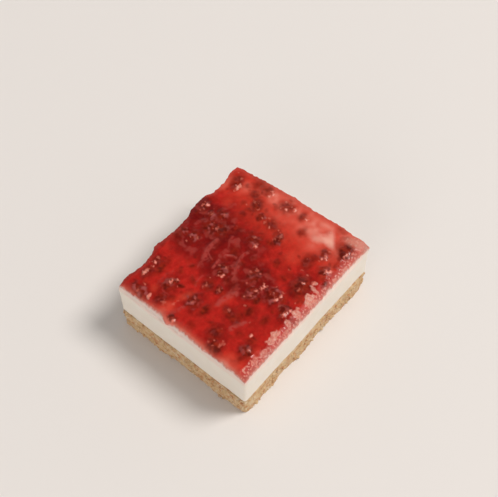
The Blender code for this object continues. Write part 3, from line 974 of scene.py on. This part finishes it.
@dataclass
class BiscuitBase(Slab):
    """The pressed biscuit crumb that the slice stands on."""

    bottom: float = 0.0
    top: float = BISCUIT_TOP + 0.3
    radius: float = 1.9
    step: float = 0.4
    rise: float = 0.38
    # Large and fine crumbs in its side, and broken lumps: how far they stand out and how large they are
    crumb: float = 0.55
    crumb_size: float = 1.9
    grain: float = 0.28
    grain_size: float = 0.85
    # The gap to a crumb's middle at which it is level with the side
    level_gap: float = 0.45
    lump: float = 0.6
    lump_size: float = 7.5
    lump_shift: float = 92.87
    proud: float = 0.25
    # The foot that has crumbled away, and the loose piece that bulges near the right corner
    worn: float = 0.3
    foot_height: float = 3.0
    bulge: float = 0.4
    loose_piece: tuple[float, float] = (31.0, -32.9)
    loose_reach: float = 9.0
    # The crumbs that hang on the side: how many, how large, how stretched, how far sunk in and how rough
    loose: int = 520
    loose_size: tuple[float, float] = (0.25, 0.8)
    stretches: tuple = ((0.7, 1.3), (0.7, 1.3), (0.6, 1.0))
    sunk: float = 0.15
    roughness: float = 0.5
    seed: int = 31

    def relief(self, spot: Vector) -> float:
        """Crumbs, broken lumps, a foot that has crumbled away a little and a loose piece that bulges."""
        near = noise.voronoi(spot / self.crumb_size)[0]
        fine = noise.voronoi(spot / self.grain_size + Vector((3.0, 1.0, 7.0)))[0]
        crumbs = self.crumb * (self.level_gap - near[0]) + self.grain * (self.level_gap - fine[0])
        lumps = self.lump * noise.noise(spot / self.lump_size + Vector((self.lump_shift, 0.0, 0.0)))
        foot = max(0.0, 1.0 - spot.z / self.foot_height) ** 2
        worn = self.worn * foot * (0.6 + 0.8 * noise.noise(spot / self.lump_size + Vector((0.0, 9.0, 0.0))))
        gap = (spot.xy - Vector(self.loose_piece)).length
        low = 1.0 - min(1.0, spot.z / BISCUIT_TOP) ** 2
        bulge = self.bulge * max(0.0, 1.0 - gap / self.loose_reach) * low
        return self.proud + crumbs + lumps - max(0.0, worn) + bulge

    def build(self, finish: Material) -> Object:
        """Makes the biscuit base with its finish."""
        return add_piece("biscuit_crumb_base", self.shape(), finish, "biscuit_base")

    def build_crumbs(self, finish: Material) -> Object:
        """Makes the crumbs that hang on its side."""
        draw = random.Random(self.seed)
        points = self.outline()
        bm = bmesh.new()
        for _ in range(self.loose):
            place, out = points[draw.randrange(len(points))]
            size = draw.uniform(*self.loose_size)
            spot = Vector((place.x, place.y, draw.uniform(size, BISCUIT_TOP - 0.2)))
            side = place + out * (self.relief(spot) - self.sunk * size)
            stretch = Vector([draw.uniform(*limits) for limits in self.stretches])
            shift = Vector((draw.uniform(0.0, 90.0), 0.0, 0.0))
            for vert in bmesh.ops.create_icosphere(bm, subdivisions=2, radius=size)["verts"]:
                rough = 1.0 + self.roughness * noise.noise(vert.co / size * 1.3 + shift)
                vert.co = Vector((side.x, side.y, spot.z)) + vert.co * stretch * rough
        return add_piece("biscuit_loose_crumbs", bm, finish)


@dataclass(frozen=True)
class JellyFinish:
    """Set raspberry jelly: wet clear gel, darker where it is deep and salmon where cream shows through, with
    painted highlights and soft reflections of the light.
    """

    clear: str = "bb241c"
    ruby: str = "a61c15"
    deep: str = "6a0606"
    # Thin jelly over the cream, with a painted soft reflection
    thin_and_sheen: str = "e0482f"
    # The milky tint of the painted soft reflections
    milk_and_sheen: str = "efb4a2"
    berry: str = "5c0e04"
    warm: str = "982812"
    # Frosted skin of the berries, partly a painted soft sheen
    skin_and_sheen: str = "a04a48"
    pulp: str = "b0463f"
    # Pale patches and flecks, partly painted reflections and glints of the light
    pale: str = "d99280"
    pink: str = "b46f60"
    # The colour of the painted highlights on the wet knobs
    painted_glint_colour: str = "d06c5a"
    rind: str = "e1cbc1"
    # Roughness where it is wet and where it is dull, and how dull the glints are
    wet: float = 0.16
    dull: float = 0.6
    soft_gleam: float = 0.38
    # The fields that JellySheet stores at its vertices
    reads: tuple[str, ...] = ("depth", "haze", "milky", "berry", "frost", "tone", "pulp", "pale", "fringe",
                              "painted_glint", "wall", "satin")

    def material(self) -> Material:
        """Builds the material.

        Returns:
            The material.
        """
        mat, tree, shader, where = new_finish("set raspberry jelly with crushed fruit")
        at = {name: add_node(tree, "Attribute", out="Fac", attribute_name=name) for name in self.reads}
        cloud, speckle, ripple = (
            add_node(tree, "TexNoise", {"Vector": where, "Scale": 1.0 / (size * MM), "Detail": detail})
            for size, detail in ((2.2, 4.0), (0.7, 2.0), (0.8, 2.0)))
        swirl = add_node(tree, "MapRange", {"Value": cloud, "From Min": 0.35, "From Max": 0.65})
        flecks = add_node(tree, "MapRange", {"Value": speckle, "From Min": 0.35, "From Max": 0.6,
                                             "To Min": 0.5})
        # The strongest haze turns milky, as a painted soft reflection
        strong = add_node(tree, "Math", {0: at["haze"], 1: 4.0}, operation="POWER")
        broken = add_node(tree, "Math", {0: at["pale"], 1: flecks}, operation="MULTIPLY")
        flesh = add_node(tree, "Mix", {MIX_FACTOR: at["tone"], MIX_A: linear(self.berry),
                                       MIX_B: linear(self.warm)}, out=MIX_RESULT, data_type="RGBA")
        colour = linear(self.clear)
        # Among these tints, the glint colour is a painted highlight; the haze, milky, skin and pale tints are
        # partly painted reflections and sheen of the light
        for tint, amount in (
                (linear(self.ruby), swirl), (linear(self.deep), at["depth"]), (linear(self.thin_and_sheen), at["haze"]),
                (linear(self.milk_and_sheen), strong), (linear(self.milk_and_sheen), at["milky"]), (linear(self.pulp), at["pulp"]),
                (flesh, at["berry"]), (linear(self.skin_and_sheen), at["frost"]), (linear(self.pale), broken),
                (linear(self.pink), at["fringe"]), (linear(self.painted_glint_colour), at["painted_glint"]),
                (linear(self.rind), at["wall"])):
            colour = add_node(tree, "Mix", {MIX_FACTOR: amount, MIX_A: colour, MIX_B: tint}, out=MIX_RESULT,
                              data_type="RGBA")
        matt = add_node(tree, "Math", {0: broken, 1: at["satin"]}, operation="MAXIMUM")
        matt = add_node(tree, "Math", {0: at["painted_glint"], 1: self.soft_gleam, 2: matt}, operation="MULTIPLY_ADD",
                        use_clamp=True)
        feed(tree, shader, {
            "Base Color": colour,
            "Roughness": add_node(tree, "MapRange", {"Value": matt, "To Min": self.wet, "To Max": self.dull}),
            "Normal": add_node(tree, "Bump", {"Height": ripple, "Strength": 0.2, "Distance": 0.05 * MM}),
            "IOR": 1.35, "Subsurface Weight": 0.12, "Subsurface Radius": (1.0, 0.12, 0.1),
            "Subsurface Scale": 0.9 * MM})
        return mat


@dataclass(frozen=True)
class CreamFinish:
    """Set cream cheese: dense and slightly translucent, smoothed by a wet knife, stained by the jelly."""

    cream: str = "e3dbd1"
    shade: str = "dbd1c3"
    stain: str = "e6c5b9"
    # Where the stain starts and is full, from the cream's top (mm), how far it runs and how strong it is
    stain_levels: tuple[float, float] = (-0.6, 1.6)
    stain_run: float = 2.4
    stain_share: float = 0.8

    def material(self) -> Material:
        """Builds the material.

        Returns:
            The material.
        """
        mat, tree, shader, where = new_finish("set cream cheese")
        cloud, run, grain = (
            add_node(tree, "TexNoise", {"Vector": where, "Scale": 1.0 / (size * MM), "Detail": detail})
            for size, detail in ((6.0, 4.0), (3.5, 2.0), (0.7, 4.0)))
        low, high = ((CREAM_TOP + level) * MM for level in self.stain_levels)
        height = add_node(tree, "SeparateXYZ", {"Vector": where}, out="Z")
        level = add_node(tree, "Math", {0: run, 1: self.stain_run * MM, 2: height}, operation="MULTIPLY_ADD")
        bleed = add_node(tree, "MapRange", {"Value": level, "From Min": low, "From Max": high,
                                            "To Max": self.stain_share})
        colour = linear(self.cream)
        for tint, amount in ((self.shade, cloud), (self.stain, bleed)):
            colour = add_node(tree, "Mix", {MIX_FACTOR: amount, MIX_A: colour, MIX_B: linear(tint)},
                              out=MIX_RESULT, data_type="RGBA")
        feed(tree, shader, {
            "Base Color": colour, "Roughness": 0.5,
            "Normal": add_node(tree, "Bump", {"Height": grain, "Strength": 0.35, "Distance": 0.1 * MM}),
            "IOR": 1.42, "Subsurface Weight": 0.25, "Subsurface Radius": (1.0, 0.8, 0.6),
            "Subsurface Scale": 1.5 * MM})
        return mat


@dataclass(frozen=True)
class BiscuitFinish:
    """Pressed digestive crumb bound with butter: dry, golden tan, with browner and paler crumbs, and darker
    specks painted as the shade in small pits.
    """

    tan: str = "c6a77e"
    brown: str = "b37c51"
    pale: str = "d2c0a5"
    # Darker specks that stand for the shade in small pits
    pit_shade: str = "94724c"

    def material(self) -> Material:
        """Builds the material.

        Returns:
            The material.
        """
        mat, tree, shader, where = new_finish("pressed biscuit crumb")
        warp, patch, sift, grit = (
            add_node(tree, "TexNoise", {"Vector": where, "Scale": 1.0 / (size * MM), "Detail": detail})
            for size, detail in ((0.7, 3.0), (2.6, 3.0), (0.3, 3.0), (0.35, 4.0)))
        shift = add_node(tree, "VectorMath", {0: warp.node.outputs["Color"], 1: (1.3 * MM,) * 3, 2: where},
                         operation="MULTIPLY_ADD")
        crumbs = add_node(tree, "TexVoronoi", {"Vector": shift, "Scale": 1.0 / (1.15 * MM),
                                               "Smoothness": 0.45}, out="Color", feature="SMOOTH_F1")
        pick = add_node(tree, "SeparateColor", {"Color": crumbs}).node
        browner, paler = (
            add_node(tree, "Mix", {MIX_FACTOR: 0.5, NUMBER_A: pick.outputs[channel], NUMBER_B: patch},
                     data_type="FLOAT") for channel in ("Red", "Green"))
        colour = linear(self.tan)
        for tint, source, low, high, most in ((self.brown, browner, 0.46, 0.68, 0.9),
                                              (self.pale, paler, 0.53, 0.78, 0.7),
                                              (self.pit_shade, sift, 0.56, 0.76, 0.7)):
            amount = add_node(tree, "MapRange", {"Value": source, "From Min": low, "From Max": high,
                                                 "To Max": most})
            colour = add_node(tree, "Mix", {MIX_FACTOR: amount, MIX_A: colour, MIX_B: linear(tint)},
                              out=MIX_RESULT, data_type="RGBA")
        feed(tree, shader, {
            "Base Color": colour, "Roughness": 0.88, "IOR": 1.45,
            "Normal": add_node(tree, "Bump", {"Height": grit, "Strength": 0.8, "Distance": 0.2 * MM})})
        return mat


@dataclass
class Studio:
    """The pale floor, the soft lights and the camera."""

    floor_colour: str = "e4e0dd"
    floor_size: float = 4.0
    floor_roughness: float = 0.7
    # The surrounding light: its strength low down and high up, and the heights between which it changes
    world_colour: str = "f2efec"
    world_low: float = 1.13
    world_high: float = 0.18
    world_heights: tuple[float, float] = (0.1, 0.85)
    forward: tuple = (0.4236, 0.3556, -0.833)
    focal_pixels: float = 900.0
    frame_width: float = 498.0
    sensor: float = 36.0
    nearest: float = 0.01
    lamp_size: float = 2.1
    lamp_colour: str = "fffaf5"
    key_distance: float = 5.0
    key_power: float = 184.0
    fill_direction: tuple = (-0.9, -0.2, 0.4)
    fill_distance: float = 3.0
    fill_power: float = 18.0

    def build_floor(self) -> None:
        """Lays the floor."""
        mat = bpy.data.materials.new("matt white card")
        mat.use_nodes = True
        feed(mat.node_tree, mat.node_tree.nodes["Principled BSDF"], {
            "Base Color": linear(self.floor_colour), "Roughness": self.floor_roughness})
        bm = bmesh.new()
        bmesh.ops.create_grid(bm, x_segments=1, y_segments=1, size=self.floor_size / 2.0)
        mesh = bpy.data.meshes.new("floor")
        bm.to_mesh(mesh)
        bm.free()
        mesh.materials.append(mat)
        floor = bpy.data.objects.new("floor", mesh)
        bpy.context.scene.collection.objects.link(floor)

    def build_light(self) -> None:
        """Sets the even surrounding light, the soft key light from the right and a weak fill from the left.

        It is stronger low down, so that the cut sides are bright.
        """
        world = bpy.data.worlds.new("studio")
        bpy.context.scene.world = world
        world.use_nodes = True
        tree = world.node_tree
        low, high = self.world_heights
        way = add_node(tree, "TexCoord", out="Generated")
        height = add_node(tree, "SeparateXYZ", {0: way}, out="Z")
        strength = add_node(tree, "MapRange", {"Value": height, "From Min": low, "From Max": high,
                                               "To Min": self.world_low, "To Max": self.world_high})
        feed(tree, tree.nodes["Background"], {"Color": linear(self.world_colour), "Strength": strength})
        for name, direction, distance, power in (
                ("key", KEY_DIRECTION, self.key_distance, self.key_power),
                ("fill", Vector(self.fill_direction), self.fill_distance, self.fill_power)):
            light = bpy.data.lights.new(name, "AREA")
            light.shape = "DISK"
            light.size = self.lamp_size
            light.energy = power
            light.color = linear(self.lamp_colour)[:3]
            lamp = bpy.data.objects.new(name, light)
            aim = direction.normalized()
            lamp.location = aim * distance
            lamp.rotation_euler = aim.to_track_quat("Z", "Y").to_euler()
            bpy.context.scene.collection.objects.link(lamp)

    def build_camera(self) -> None:
        """Sets the camera where the photograph was taken from."""
        lens = bpy.data.cameras.new("camera")
        lens.sensor_width = self.sensor
        lens.lens = self.focal_pixels / self.frame_width * self.sensor
        lens.clip_start = self.nearest
        camera = bpy.data.objects.new("camera", lens)
        camera.location = EYE * MM
        camera.rotation_euler = Vector(self.forward).to_track_quat("-Z", "Y").to_euler()
        bpy.context.scene.collection.objects.link(camera)
        bpy.context.scene.camera = camera
        bpy.context.scene.view_settings.view_transform = "Standard"

    def build(self) -> None:
        """Builds the whole stage."""
        self.build_floor()
        self.build_light()
        self.build_camera()


def main() -> None:
    """Builds the stage and dresses the slice, from the floor up."""
    logging.basicConfig(level=logging.INFO, format="%(name)s: %(message)s")
    Studio().build()
    crumb = BiscuitFinish().material()
    biscuit = BiscuitBase()
    biscuit.build(crumb)
    biscuit.build_crumbs(crumb)
    CreamLayer().build(CreamFinish().material())
    JellySheet(Fruit()).build(JellyFinish().material())


if __name__ == "__main__":
    main()
